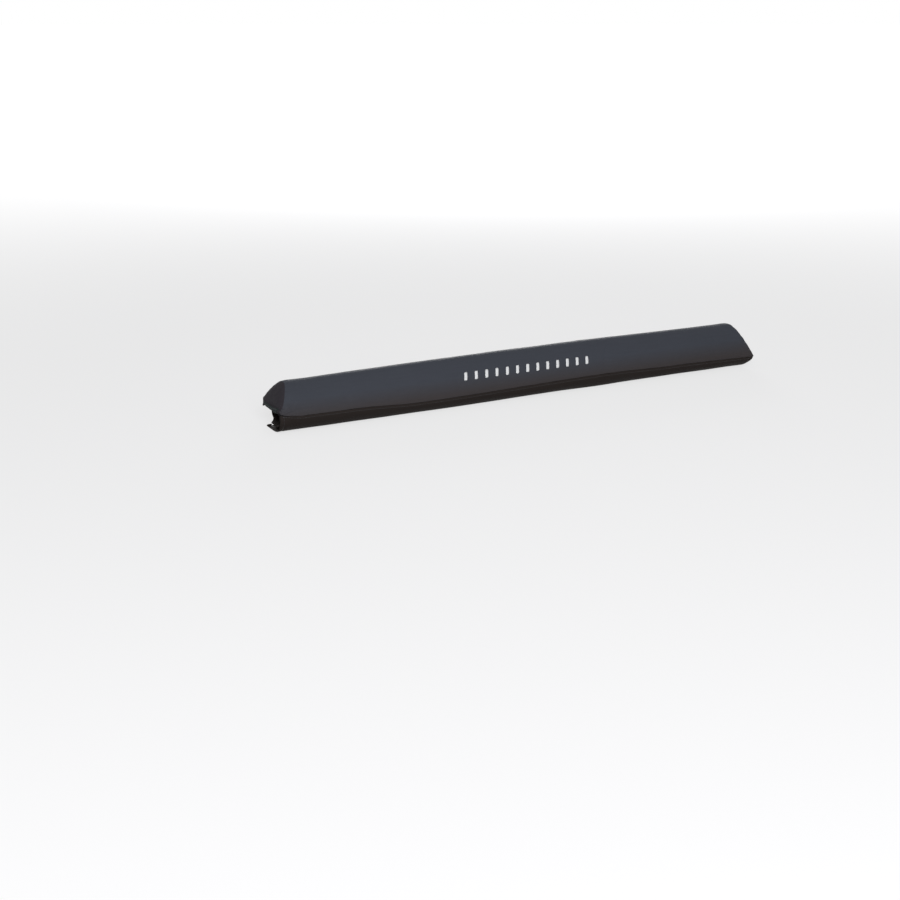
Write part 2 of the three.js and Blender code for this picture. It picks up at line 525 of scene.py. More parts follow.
LEFT_FOLDS, RIGHT_FOLDS = 1.0 * MM, 0.35 * MM
REAR_FOLDS = 0.6
FOLD_START = 3 * MM
FOLD_REACH = 16 * MM
FOLD_COUNT = 12
FOLD_SPREAD = 0.9


def dress(bm):
    """Draws the cloth in at its seams, puckers it beside them and lets it wave a little between."""
    sizes = bpy.context.scene.pad_sizes
    bm.normal_update()
    seams = {
        "end": seam_verts(bm, TOP, LEFT) | seam_verts(bm, TOP, RIGHT),
        "belt": seam_verts(bm, TOP, BASE),
        "seat": seam_verts(bm, BASE, LEFT) | seam_verts(bm, BASE, RIGHT),
    }
    trees = {}
    for name, verts in seams.items():
        tree = kdtree.KDTree(len(verts))
        for v in sorted(verts, key=lambda v: v.index):
            tree.insert(v.co, v.index)
        tree.balance()
        trees[name] = tree
    moves = []
    for v in bm.verts:
        end_place, _, end_gap = trees["end"].find(v.co)
        belt_place, _, belt_gap = trees["belt"].find(v.co)
        seat_gap = trees["seat"].find(v.co)[2]
        draw = sum(depth * math.exp(-(gap / SEAM_WIDTH) ** 2)
                   for gap, depth in ((end_gap, END_DRAW), (belt_gap, 1.0), (seat_gap, 1.0)))
        ripple = noise.noise(Vector((0, end_place.y, end_place.z)) / PUCKER_PITCH
                             + Vector((end_place.x, 0, 0)))
        belt_ripple = noise.noise(Vector((belt_place.x / BELT_PUCKER_PITCH, belt_place.y * 40, 0)))
        rise = sizes.ridge * end_gap / RIDGE_PLACE * math.exp(1 - end_gap / RIDGE_PLACE)
        rise += sizes.pucker * 2 * ripple * math.exp(-end_gap / PUCKER_REACH) * smooth(end_gap / (1.5 * MM))
        rise += sizes.pucker * belt_ripple * math.exp(-belt_gap / PUCKER_REACH)
        on_top = v not in seams["seat"] and v.co.z > SEAT_HEIGHT + 1 * MM
        if on_top:
            wave = noise.noise(Vector((v.co.x / WAVE_LENGTH, v.co.y / WAVE_WIDTH, v.co.z / WAVE_WIDTH)))
            fine = noise.noise(Vector((v.co.x / FINE_LENGTH, v.co.y / FINE_WIDTH, v.co.z / FINE_WIDTH)))
            waves = WAVE_HEIGHT * wave + FINE_HEIGHT * fine
            rise += waves * smooth(min(end_gap, belt_gap) / WAVE_START)
            rise += corner_folds(v.co)
        moves.append((v, v.normal * (rise - sizes.seam_depth * min(draw, 1))))
    for v, move in moves:
        v.co += move
    corners = seams["end"] & seams["belt"]
    around = {w for v in corners for e in v.link_edges for w in e.verts}
    relax(bm, sorted(around, key=lambda v: v.index))
    bm.normal_update()


SEAM_WIDTH = 1.6 * MM
END_DRAW = 0.3
RIDGE_PLACE = 6 * MM
PUCKER_PITCH = 5 * MM
PUCKER_REACH = 7 * MM
BELT_PUCKER_PITCH = 11 * MM
WAVE_LENGTH = 90 * MM
WAVE_WIDTH = 35 * MM
WAVE_HEIGHT = 0.5 * MM
FINE_LENGTH = 22 * MM
FINE_WIDTH = 9 * MM
FINE_HEIGHT = 0.12 * MM
WAVE_START = 12 * MM


def panel_uv(panel):
    """Cloth coordinates of a panel: along the pad and round it, or across an end and up it."""
    def place(co, face):
        if panel == TOP:
            down = CREST_RISE + BELT_HEIGHT - co.z + 0.3 * abs(co.y)
            return co.x, down * math.copysign(1, -co.y)
        if panel == BASE:
            return co.x, co.y
        return co.y, co.z * math.hypot(1, END_LEAN)
    return place


def cut_panel(whole, panel):
    """One panel of the pocket, with its edges turned inwards as seam allowances."""
    sizes = bpy.context.scene.pad_sizes
    bm = whole.copy()
    others = [f for f in bm.faces if f.material_index != panel]
    bmesh.ops.delete(bm, geom=others, context="FACES")
    bm.normal_update()
    inward = bm.verts.layers.float_vector.new("inward")
    for v in bm.verts:
        if v.is_boundary:
            middle = math.copysign(min(abs(v.co.x), HALF_LENGTH - SEAM_AIM), v.co.x)
            aim = (Vector((middle, 0, BELT_HEIGHT + AIM_HEIGHT)) - v.co).normalized()
            v[inward] = aim
            v.co += (aim - v.normal * aim.dot(v.normal)).normalized() * SEAM_GAP
    set_uv(bm, panel_uv(panel))
    for depth in TURN_STEPS:
        for v in grow(bm, [e for e in bm.edges if e.is_boundary]):
            v.co += Vector(v[inward]) * sizes.seam_allowance * depth
    for face in bm.faces:
        face.material_index = 0
    return bm


TURN_STEPS = (0.3, 0.7)
SEAM_AIM = 30 * MM
AIM_HEIGHT = 12 * MM
SEAM_GAP = 0.03 * MM


class PAD_OT_cover(bpy.types.Operator):
    """Sews and fills the cover: main panel, two ends and lining"""
    bl_idname = "pad.sew_cover"
    bl_label = "Sew the cover"

    def execute(self, context):
        sizes = context.scene.pad_sizes
        whole = pocket()
        blow_up(whole)
        refine(whole)
        dress(whole)
        arc = path_length(GABLE)
        hang = [(p.lerp(q, 0.5).y, (q - p).length) for p, q in zip(GABLE, GABLE[1:])]
        top_area = sum(2 * end_face(z) * step for z, step in hang)
        end_area = sum(abs(p.x + q.x) / 2 * abs(p.y - q.y) for p, q in zip(GABLE, GABLE[1:]))
        slope = math.hypot(1, END_LEAN)
        along, across = 2 * HALF_LENGTH, 2 * BELT_HALF_WIDTH
        ends = (across, CREST_RISE * slope), end_area * slope
        for name, panel, node, material, slot, flat, area in (
            ("top_panel_cloth", TOP, "top_panel", cover_cloth(), "cover", (arc, along), top_area),
            ("end_cloth_left", LEFT, "end_panel_left", end_cloth(), "end_cloth", *ends),
            ("end_cloth_right", RIGHT, "end_panel_right", end_cloth(), "end_cloth", *ends),
            ("lining_cloth", BASE, "base_lining", lining_cloth(), "lining", (across, along), None),
        ):
            piece = make_object(name, cut_panel(whole, panel), material, slot, (node,))
            thicken(piece, sizes.cloth)
            tuple(side + 2 * sizes.seam_allowance for side in flat)
        for face in whole.faces:
            face.material_index = 0
        whole.to_mesh(bpy.data.meshes.new(POCKET))
        whole.free()
        return {"FINISHED"}


class PAD_OT_foam(bpy.types.Operator):
    """Shapes the foam block that fills the cover"""
    bl_idname = "pad.shape_foam"
    bl_label = "Shape the foam"

    def execute(self, context):
        sizes = context.scene.pad_sizes
        bm = pocket(sizes.foam_inset)
        cut = bmesh.ops.bisect_plane(
            bm, geom=bm.verts[:] + bm.edges[:] + bm.faces[:], plane_no=(0, 0, 1),
            plane_co=(0, 0, SEAT_HEIGHT + sizes.foam_inset), clear_inner=True)["geom_cut"]
        bmesh.ops.contextual_create(bm, geom=[e for e in cut if isinstance(e, bmesh.types.BMEdge)])
        bmesh.ops.recalc_face_normals(bm, faces=bm.faces[:])
        for face in bm.faces:
            face.material_index = 0
        set_uv(bm, lambda co, face: (co.x, co.y))
        block = make_object("foam_block", bm, closed_cell_foam(), "foam", ("foam_core",))
        return {"FINISHED"}


# Flaps


FLAP_COLUMNS, FLAP_ROWS = 300, 34
FLAP_TOP = FLAP_HIGH.z
FLAP_FLAT = STRIP_HIGH.y + FLAP_MARGIN
FLAP_EDGE = FLAP_HIGH.y


def flap_bottom(node):
    """Height of a flap's underside: a stitch's depth above the frame's."""
    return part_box(node)[0].z + 0.2 * MM


def flap_path(bottom, steps=40):
    """The flap's outside, from the belt down and under the bar to its free edge, as y and z."""
    path = []
    for i in range(steps + 1):
        turn = math.pi / 2 * i / steps
        path.append(Vector((
            -FLAP_FLAT - (BELT_HALF_WIDTH - FLAP_FLAT) * math.cos(turn),
            FLAP_TOP - (FLAP_TOP - bottom) * math.sin(turn),
        )))
    return path + [Vector((FLAP_EDGE, bottom))]


def fold_under(place, edge, hem, radius):
    """Where cloth laid out flat comes to lie when it is folded in at an edge: place and depth."""
    turned = math.pi * radius
    over = place - (edge - radius)
    if over <= 0:
        return place, 0.0
    if over < turned:
        return edge - radius + radius * math.sin(over / radius), radius * (1 - math.cos(over / radius))
    return edge - radius - min(over - turned, hem), 2 * radius


def end_shift(x, side, share):
    """How far a flap's cloth lies to the right of its place near its ends, for a share of its drop."""
    near = smooth((abs(x) - FLAP_HIGH.x) / END_ZONE + 1)
    if x > 0:
        return -near * (SETBACK + END_CUT * smooth(share / END_CUT_EASE))
    if side < 0:
        return near * FRONT_SHIFT
    scoop = smooth(share / SCOOP_FROM) * smooth((SCOOP_TO - share) / SCOOP_EASE)
    return near * (REAR_SETBACK + REAR_SCOOP * scoop)


def hang(x, p, side, share):
    """Where a point of a flap's outline hangs, at a place along the pad."""
    return soft_form((x, -side * p.x, p.y)) + Vector((end_shift(x, side, share), 0, 0))


def flap(name, bottom, side, node):
    """One flap: hemmed across its ends and along its free edge, its upper edge turned into the seam."""
    sizes = bpy.context.scene.pad_sizes
    path = flap_path(bottom)
    drop = path_length(path)
    radius = (sizes.cloth + 0.2 * MM) / 2
    half_flat = FLAP_HIGH.x - radius + math.pi * radius + sizes.end_hem
    drop_flat = drop - radius + math.pi * radius + sizes.edge_hem

    def lay(u, v):
        u = spread(u, FLAP_CROWDING)
        place, depth_u = fold_under(abs(u) * half_flat, FLAP_HIGH.x, sizes.end_hem, radius)
        x = math.copysign(place, u)
        down, depth_v = fold_under(v * drop_flat, drop, sizes.edge_hem, radius)
        share = down / drop
        p = walk(path, share)
        ahead = walk(path, min(share + 0.004, 1)) - walk(path, max(share - 0.004, 0))
        inward = Vector((-ahead.y, ahead.x)).normalized()
        under = smooth((share - UNDER_FROM) / UNDER_EASE)
        stitched = abs(FLAP_HIGH.x - place - sizes.end_hem)
        sag = noise.noise(Vector((x / FLAP_WAVE_LENGTH, share * 3, side * 5.0)))
        ripple = noise.noise(Vector((x / FLAP_PUCKER_PITCH, share * 1.5, side * 7.0)))
        out = FLAP_WAVE * sag * smooth(share * 5) - FLAP_PUCKER * ripple * math.exp(-share * 8)
        out += FLAP_BULGE * math.sin(math.pi * min(share / 0.5, 1))
        out -= HEM_DENT * math.exp(-(stitched / HEM_SEAM) ** 2)
        p = p + inward * (depth_u + depth_v - out * (1 - under))
        return hang(x, p, side, share), (u * half_flat, v * drop_flat)

    bm, spots = lay_cloth(FLAP_COLUMNS, FLAP_ROWS, lay)
    face_towards(bm, min(bm.faces, key=height_of), (0, 0, -1))
    upper = [e for e in bm.edges if all(spots[v][1] < NEARLY_NONE * MM for v in e.verts)]
    for v in grow(bm, upper):
        v.co.y -= math.copysign(sizes.seam_allowance, v.co.y)
        v.co.z -= TURN_DROP
    piece = make_object(name, bm, flap_cloth(), "flap_cloth", (node,))
    thicken(piece, sizes.cloth)


UNDER_FROM, UNDER_EASE = 0.45, 0.2     # the share of the drop from which the flap lies under the bar
FLAP_WAVE = 0.9 * MM
FLAP_WAVE_LENGTH = 70 * MM
FLAP_PUCKER = 0.25 * MM
FLAP_PUCKER_PITCH = 9 * MM
TURN_DROP = 0.3 * MM
HEM_DENT = 0.35 * MM
HEM_SEAM = 1.2 * MM
FLAP_BULGE = 0.5 * MM
END_ZONE = 50 * MM
SETBACK = 2.2 * MM
END_CUT = 6 * MM
END_CUT_EASE = 0.3
FRONT_SHIFT = 1.5 * MM
REAR_SETBACK = 6 * MM
REAR_SCOOP = 8 * MM
SCOOP_FROM, SCOOP_TO, SCOOP_EASE = 0.06, 0.62, 0.3


class PAD_OT_flaps(bpy.types.Operator):
    """Hangs the two flaps from the belt and laps them under the bar"""
    bl_idname = "pad.hang_flaps"
    bl_label = "Hang the flaps"

    def execute(self, context):
        flap("front_flap_cloth", flap_bottom("front_flap"), -1, "front_flap")
        flap("rear_flap_cloth", flap_bottom("rear_flap"), 1, "rear_flap")
        return {"FINISHED"}


# Closure


TAPE_COLUMNS, TAPE_LANES = 240, 26
TAPE_INSET = 6 * MM
SELVEDGE, SELVEDGE_DROP = 1.5 * MM, 0.4 * MM
LOOP_DEPTH, LOOP_PITCH = 0.25 * MM, 2.2 * MM
HOOK_DEPTH = 0.35 * MM


class PAD_OT_closure(bpy.types.Operator):
    """Lays the hook and loop tapes between the flaps"""
    bl_idname = "pad.close_flaps"
    bl_label = "Close the flaps"

    def execute(self, context):
        for name, node, material, slot, face_up in (
            ("loop_tape", "loop_strip", loop_pile(), "loop_pile", 1),
            ("hook_tape", "hook_strip", hook_tape(), "hook_tape", -1),
        ):
            low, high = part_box(node)
            low, high = low + Vector((TAPE_INSET, 0, 0)), high - Vector((TAPE_INSET, 0, 0))
            middle, size = (low + high) / 2, high - low
            bm = divided_box(1, (TAPE_COLUMNS, TAPE_LANES, 1))
            for v in bm.verts:
                v.co = middle + v.co * size
                if (v.co.z - middle.z) * face_up < 0:
                    continue
                if high.y - abs(v.co.y) < SELVEDGE:
                    v.co.z -= face_up * SELVEDGE_DROP
                elif name == "loop_tape":
                    v.co.z -= face_up * LOOP_DEPTH * abs(noise.noise(v.co / LOOP_PITCH))
                elif round((v.co.y - low.y) / size.y * TAPE_LANES) % 2:
                    v.co.z -= face_up * HOOK_DEPTH
            set_uv(bm, lambda co, face: (co.x, co.y))
            bmesh.ops.recalc_face_normals(bm, faces=bm.faces[:])
            piece = make_object(name, bm, material, slot, (node,), shade=name == "loop_tape")
        return {"FINISHED"}


# Bindings


BINDING_COLUMNS, BINDING_ROWS = 72, 20
TAPE_UNDER = 6 * MM
TAPE_CLEAR = 3 * MM
TAPE_SHORT = 6 * MM
TAPE_SHIFT = 2.5 * MM
TAPE_GAP = 0.2 * MM
TAPER_LENGTH, TAPER = 5 * MM, 0.7


def tape_path(end):
    """A line that rounds an end's lower edge a little outside it, from the end's face to the lining,
    in x and z."""
    slope = math.hypot(1, END_LEAN)
    edge = Vector((end * end_face(SEAT_HEIGHT), SEAT_HEIGHT))
    top = Vector((end * end_face(BINDING_HIGH.z), BINDING_HIGH.z))
    start = math.atan(END_LEAN)
    turns = [start - (start + math.pi / 2) * i / 12 for i in range(13)]
    round_edge = [edge + Vector((end * math.cos(turn), math.sin(turn))) * TAPE_CLEAR for turn in turns]
    first = top + Vector((end, END_LEAN)) / slope * TAPE_CLEAR
    last = edge + Vector((-end * TAPE_UNDER, -TAPE_CLEAR))
    return [first, *round_edge, last]


class PAD_OT_bindings(bpy.types.Operator):
    """Folds the binding tapes over the lower edges of the ends"""
    bl_idname = "pad.bind_ends"
    bl_label = "Bind the ends"

    def execute(self, context):
        sizes = context.scene.pad_sizes
        half = BINDING_HIGH.y - TAPE_SHORT
        total = (BINDING_HIGH.z - SEAT_HEIGHT) * math.hypot(1, END_LEAN) + TAPE_UNDER
        face = surface_of(POCKET)
        for end, name, node, panel in (
            (-1, "end_tape_left", "end_binding_left", "end_cloth_left"),
            (1, "end_tape_right", "end_binding_right", "end_cloth_right"),
        ):
            path = tape_path(end)

            def lay(u, share):
                y = u * half - TAPE_SHIFT
                x, z = walk(path, share)
                start = soft_form((x, y, z))
                near = face.find_nearest(start)[0]
                tuck = 1 - smooth((half - abs(y + TAPE_SHIFT)) / TAPER_LENGTH)
                lift = sizes.tape * (1 - TAPER * tuck) + TAPE_GAP
                return near + (start - near).normalized() * lift, (y, share * total)

            bm = lay_cloth(BINDING_COLUMNS, BINDING_ROWS, lay)[0]
            relax(bm, bm.verts[:])
            face_towards(bm, max(bm.faces, key=height_of), (end, 0, 0))
            piece = make_object(name, bm, binding_tape(), "binding_tape", (node,))
            thicken(piece, sizes.tape)
        return {"FINISHED"}


# Stitching


STITCHES_AT_ONCE = 16
THREAD_SINK = 0.15                     # of the thread's width
HALF_STITCH = 0.42                     # of the pitch
BELT_ROW = 2.6 * MM
HEM_ROW = 0.4 * MM
CLOSURE_ROW = 1 * MM
ROW_MARGIN = 2 * MM
TAPE_ROW, TAPE_ROW_MARGIN, TAPE_ROW_LIFT = 1.6 * MM, 1.5 * MM, 2 * MM


def stitch_line(whole, points, normals):
    """Lays one row of stitches along a line of points on a surface, a few at a time, which is quicker."""
    sizes = bpy.context.scene.pad_sizes
    bm = bmesh.new()
    run = path_length(points)
    count = max(int(run / sizes.stitch), 1)
    steps = [(q - p).length for p, q in zip(points, points[1:])]
    index, done = 0, 0.0
    for number in range(count):
        middle = (number + 0.5) * run / count
        while index < len(steps) - 1 and done + steps[index] < middle:
            done += steps[index]
            index += 1
        p, q = points[index], points[index + 1]
        share = (middle - done) / max(steps[index], 1e-9)
        along = (q - p).normalized()
        up = normals[index].lerp(normals[index + 1], share)
        up = (up - along * up.dot(along)).normalized()
        across = up.cross(along)
        turn = Matrix((along, across, up)).transposed().to_4x4()
        spot = p.lerp(q, share) - up * sizes.thread * THREAD_SINK
        size = Matrix.Diagonal((sizes.stitch * HALF_STITCH, sizes.thread / 2, sizes.thread / 2, 1))
        bmesh.ops.create_uvsphere(
            bm, u_segments=6, v_segments=5, radius=1,
            matrix=Matrix.Translation(spot) @ turn @ size @ Matrix.Rotation(math.pi / 2, 4, "Y"))
        if number % STITCHES_AT_ONCE == STITCHES_AT_ONCE - 1 or number == count - 1:
            row = bpy.data.meshes.new("row")
            bm.to_mesh(row)
            whole.from_mesh(row)
            bm.clear()
    bm.free()


def lie_on(tree, points):
    """Puts points on a surface, and gives its normals there."""
    placed = [tree.find_nearest(p) for p in points]
    return [p[0] for p in placed], [p[1] for p in placed]


class PAD_OT_stitching(bpy.types.Operator):
    """Stitches the belt seams, the hems, the closure and the bindings"""
    bl_idname = "pad.stitch_seams"
    bl_label = "Stitch the seams"

    def execute(self, context):
        sizes = context.scene.pad_sizes
        material = sewing_thread()
        for cloth, bottom, side, label in (
            ("front_flap_cloth", flap_bottom("front_flap"), -1, "front"),
            ("rear_flap_cloth", flap_bottom("rear_flap"), 1, "rear"),
        ):
            tree = surface_of(cloth)
            path = flap_path(bottom)
            drop = path_length(path)
            ends = FLAP_HIGH.x - ROW_MARGIN

            def spot(x, share):
                return hang(x, walk(path, share), side, share)

            bm = bmesh.new()
            for down in (BELT_ROW, drop - sizes.edge_hem + HEM_ROW, drop - 2 * STRIP_HIGH.y - CLOSURE_ROW):
                line = [spot(-ends + 2 * ends * i / 300, down / drop) for i in range(301)]
                stitch_line(bm, *lie_on(tree, line))
            for end in (-1, 1):
                x = end * (FLAP_HIGH.x - sizes.end_hem + HEM_ROW)
                line = [spot(x, 0.02 + 0.96 * i / 40) for i in range(41)]
                stitch_line(bm, *lie_on(tree, line))
            make_object(f"{label}_flap_stitches", bm, material, "flap_cloth")
        for end, name in ((-1, "left"), (1, "right")):
            tree = surface_of(f"end_tape_{name}")
            bm = bmesh.new()
            half = BINDING_HIGH.y - TAPE_SHORT - TAPE_ROW_MARGIN
            z = BINDING_HIGH.z - TAPE_ROW
            x = end * (end_face(z) + TAPE_ROW_LIFT)
            line = [soft_form((x, half * (i / 20 - 1) - TAPE_SHIFT, z)) for i in range(41)]
            stitch_line(bm, *lie_on(tree, line))
            make_object(f"end_tape_stitches_{name}", bm, material, "binding_tape")
        return {"FINISHED"}


# Print


class PAD_OT_print(bpy.types.Operator):
    """Prints the row of plain slanted bars on the front face"""
    bl_idname = "pad.print_bars"
    bl_label = "Print the bars"

    def execute(self, context):
        sizes = context.scene.pad_sizes
        tree = surface_of("top_panel_cloth")
        material = print_film()
        marks = sorted(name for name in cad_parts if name.startswith("mark_"))
        for node in marks:
            low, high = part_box(node)
            bm = bmesh.new()
            bmesh.ops.create_grid(bm, x_segments=4, y_segments=8, size=1)
            middle, size = (low + high) / 2, high - low
            lean = MARK_LEAN * size.z
            for v in bm.verts:
                a, b, _ = v.co
                if abs(a) > ON_FACE and abs(b) > ON_FACE:
                    a, b = a * MARK_CORNER[0], b * MARK_CORNER[1]
                x, z = middle.x + (a * (size.x - lean) + b * lean) / 2, middle.z + b * size.z / 2
                near, normal, _, _ = tree.ray_cast(Vector((x, low.y - 50 * MM, z)), Vector((0, 1, 0)))
                v.co = near + normal * (sizes.film + FILM_GAP)
            set_uv(bm, lambda co, face: (co.x, co.z))
            face_towards(bm, next(iter(bm.faces)), (0, -1, 0))
            piece = make_object(f"print_bar_{node[-2:]}", bm, material, "print", (node,))
            thicken(piece, sizes.film)
        return {"FINISHED"}


MARK_LEAN = 0.35
MARK_CORNER = (0.86, 0.95)             # how far out the rounded corners reach, across and up
FILM_GAP = 0.05 * MM


# Cloths


ONE_WAVE = 2 * math.pi / 20            # the wave texture's scale at which its bands are one unit apart
DULL = 0.04                            # specular level of the pad's outer cloths
UNEVEN = 0.05                          # how far a cloth's roughness varies to each side


def finish(material, tree, tone, roughness, pattern, bump, depth, shade=1, **gloss):
    """Ends a material: its pattern gives the relief, and shades the colour where it is low."""
    if shade < 1:
        tone = add(tree, "Mix", {"Factor": pattern, 6: shaded(tone, shade), 7: tone},
                   data_type="RGBA").outputs[2]
    relief = add(tree, "Bump", {"Height": pattern, "Strength": bump, "Distance": depth})
    shader = add(tree, "BsdfPrincipled", {
        "Base Color": tone, "Roughness": roughness, "Normal": relief.outputs["Normal"], **gloss})
    add(tree, "OutputMaterial", {"Surface": shader.outputs["BSDF"]})
    return material


def shaded(base, factor):
    """A colour made darker or lighter."""
    return [min(c * factor, 1) for c in base[:3]] + [1]


def woven(name, cloth, roughness, sheen, bump, variation, low=None):
    """Plain-woven cloth on the piece's own UV map, which is in metres. It may turn low down to a second
    colour, which is painted shade with a warm painted reflection."""
    colours, pitch = bpy.context.scene.pad_colours, bpy.context.scene.pad_sizes.weave
    base = getattr(colours, cloth)
    material, tree = start_material(name)
    place = add(tree, "UVMap").outputs["UV"]
    scaled = add(tree, "Mapping", {"Vector": place, "Scale": (1 / pitch, 1 / pitch, 1)}).outputs["Vector"]
    warp = add(tree, "TexWave", {"Vector": scaled, "Scale": ONE_WAVE}, bands_direction="X")
    weft = add(tree, "TexWave", {"Vector": scaled, "Scale": ONE_WAVE}, bands_direction="Y")
    over = add(tree, "TexChecker", {"Vector": scaled, "Scale": 1.0})
    threads = add(tree, "Mix", {"Factor": over.outputs["Fac"], "A": warp.outputs["Fac"],
                                "B": weft.outputs["Fac"]}).outputs["Result"]
    spot = add(tree, "TexCoord").outputs["Object"]
    broad = add(tree, "TexNoise", {"Vector": spot, "Scale": 14.0, "Detail": 3.0, "Roughness": 0.5})
    slub = add(tree, "TexNoise", {"Vector": add(tree, "Mapping", {
        "Vector": scaled, "Scale": (0.03, 0.9, 1)}).outputs["Vector"], "Scale": 1.0, "Detail": 1.0})
    ground = add(tree, "Mix", {"Factor": broad.outputs["Fac"], 6: shaded(base, 1 - variation),
                               7: shaded(base, 1 + variation)}, data_type="RGBA").outputs[2]
    # Painted shade: up to 20 mm over the belt the colour turns to the low colour, a darker, warmer grey
    # that stands for shade with a warm reflection from below
    if low:
        height = add(tree, "SeparateXYZ", {"Vector": spot}).outputs["Z"]
        above = add(tree, "MapRange", {"Value": height, "From Min": BELT_HEIGHT + 1 * MM,
                                       "From Max": BELT_HEIGHT + 20 * MM}).outputs["Result"]
        ground = add(tree, "Mix", {"Factor": above, 6: tuple(getattr(colours, low)), 7: ground},
                     data_type="RGBA").outputs[2]
    shade = add(tree, "MapRange", {"Value": threads, "To Min": 0.86, "To Max": 1.06}).outputs["Result"]
    streak = add(tree, "MapRange", {"Value": slub.outputs["Fac"], "To Min": 0.94, "To Max": 1.06})
    shade = add(tree, "Math", {0: shade, 1: streak.outputs["Result"]}, operation="MULTIPLY")
    tinted = add(tree, "VectorMath", {0: ground, "Scale": shade.outputs["Value"]}, operation="SCALE")
    rough = add(tree, "MapRange", {"Value": broad.outputs["Fac"], "To Min": roughness - UNEVEN,
                                   "To Max": roughness + UNEVEN}).outputs["Result"]
    gloss = {"Sheen Weight": sheen, "Sheen Roughness": 0.45, "IOR": 1.5, "Specular IOR Level": DULL}
    return finish(material, tree, tinted.outputs["Vector"], rough, threads, bump, 0.12 * MM, **gloss)


def cover_cloth():
    """Satin-faced woven polyester, dark grey with a blue tint that is painted skylight; low down it turns
    darker and warmer as painted shade with a warm painted reflection. Its thread, about 0.5 mm, is drawn
    coarser so that it shows."""
    return woven("Woven polyester cover", "cover", 0.55, 0.04, 0.35, 0.06, low="cover_painted_shade")


def end_cloth():
    """The same polyester on the ends, where its colour is painted darker and warmer than the cover's as
    shade.
    """
    return woven("Woven polyester ends", "end_cloth", 0.65, 0.02, 0.35, 0.12)


def flap_cloth():
    """Coated woven polyester, smoother than the cover. Its brown-black is painted shade with a warm painted
    reflection, on the cloth that faces down under the belt.
    """
    return woven("Coated polyester flap", "flap_cloth", 0.6, 0.02, 0.3, 0.08)


def lining_cloth():
    """Plain polyester lining, near black and matte."""
    return woven("Polyester lining", "lining", 0.8, 0.1, 0.4, 0.08)


def binding_tape():
    """Grosgrain tape: fine ribs across its width catch the light as a greenish grey."""
    base = bpy.context.scene.pad_colours.binding_tape
    material, tree = start_material("Grosgrain tape")
    place = add(tree, "UVMap").outputs["UV"]
    ribs = add(tree, "TexWave", {"Vector": place, "Scale": ONE_WAVE / (1.1 * MM)}, bands_direction="X")
    return finish(material, tree, tuple(base), 0.6, ribs.outputs["Fac"], 0.6, 0.2 * MM, shade=0.72,
                  **{"Specular IOR Level": DULL})


def closed_cell_foam():
    """Closed-cell polyethylene foam: dull, with cells of about 1 mm cut open on its faces."""
    base = bpy.context.scene.pad_colours.foam
    material, tree = start_material("Closed-cell foam")
    spot = add(tree, "TexCoord").outputs["Object"]
    cells = add(tree, "TexVoronoi", {"Vector": spot, "Scale": 1 / (1.4 * MM)})
    return finish(material, tree, tuple(base), 0.9, cells.outputs["Distance"], 0.7, 0.4 * MM, shade=0.6)


def hook_tape():
    """Moulded nylon hooks on a woven tape, seen as close rows across the strip."""
    base = bpy.context.scene.pad_colours.hook_tape
    material, tree = start_material("Nylon hook tape")
    place = add(tree, "UVMap").outputs["UV"]
    rows = add(tree, "TexWave", {"Vector": place, "Scale": ONE_WAVE / (1.5 * MM)}, bands_direction="X")
    return finish(material, tree, tuple(base), 0.5, rows.outputs["Fac"], 0.8, 0.5 * MM)


def loop_pile():
    """Brushed nylon loops: a soft pile that takes the light unevenly."""
    base = bpy.context.scene.pad_colours.loop_pile
    material, tree = start_material("Brushed loop pile")
    spot = add(tree, "TexCoord").outputs["Object"]
    pile = add(tree, "TexNoise", {"Vector": spot, "Scale": 1 / (0.9 * MM), "Detail": 4.0})
    return finish(material, tree, tuple(base), 0.95, pile.outputs["Fac"], 0.8, 0.4 * MM, shade=0.5,
                  **{"Sheen Weight": 0.4})


def sewing_thread():
    """Bonded polyester thread, a little glossier than the cloth, with the twist of its strands."""
    base = bpy.context.scene.pad_colours.thread
    material, tree = start_material("Bonded polyester thread")
    spot = add(tree, "TexCoord").outputs["Object"]
    twist = add(tree, "TexWave", {"Vector": spot, "Scale": ONE_WAVE / (0.9 * MM)},
                bands_direction="DIAGONAL")
    return finish(material, tree, tuple(base), 0.45, twist.outputs["Fac"], 0.5, 0.1 * MM)


def print_film():
    """Heat-pressed transfer film: satin white that takes a trace of the weave beneath."""
    base = bpy.context.scene.pad_colours.print
    material, tree = start_material("Transfer print film")
    spot = add(tree, "TexCoord").outputs["Object"]
    grain = add(tree, "TexNoise", {"Vector": spot, "Scale": 1 / (1.5 * MM), "Detail": 2.0})
    return finish(material, tree, tuple(base), 0.5, grain.outputs["Fac"], 0.25, 0.1 * MM, shade=0.85)


# Stage


def power(name, description, watts):
    """A light's power, in watts."""
    return FloatProperty(name=name, description=description, default=watts, min=0)


class StageSettings(bpy.types.PropertyGroup):
    """Camera and lights."""
    lens: FloatProperty(name="Lens", description="Focal length in millimetres", default=54.1, min=1)
    yaw: FloatProperty(name="Yaw", description="Turn to the right of straight on",
                       default=math.radians(28.657), subtype="ANGLE")
    pitch: FloatProperty(name="Pitch", description="Tilt down",
                         default=math.radians(18.026), subtype="ANGLE")
    roll: FloatProperty(name="Roll", description="Tilt to the side",
                        default=math.radians(0.286), subtype="ANGLE")
    place: FloatVectorProperty(name="Place", description="Where the camera stands",
                               default=(-0.908, -1.460, 0.4783), subtype="TRANSLATION")
    key: power("Key", "Power of the light from the front", 42)
    fill: power("Fill", "Power of the light from the front right", 2)
    back: power("Back", "Power of the light from behind", 32)
    ambient: FloatProperty(name="Ambient", description="Strength of the surrounding light",
                           default=0.2, min=0)


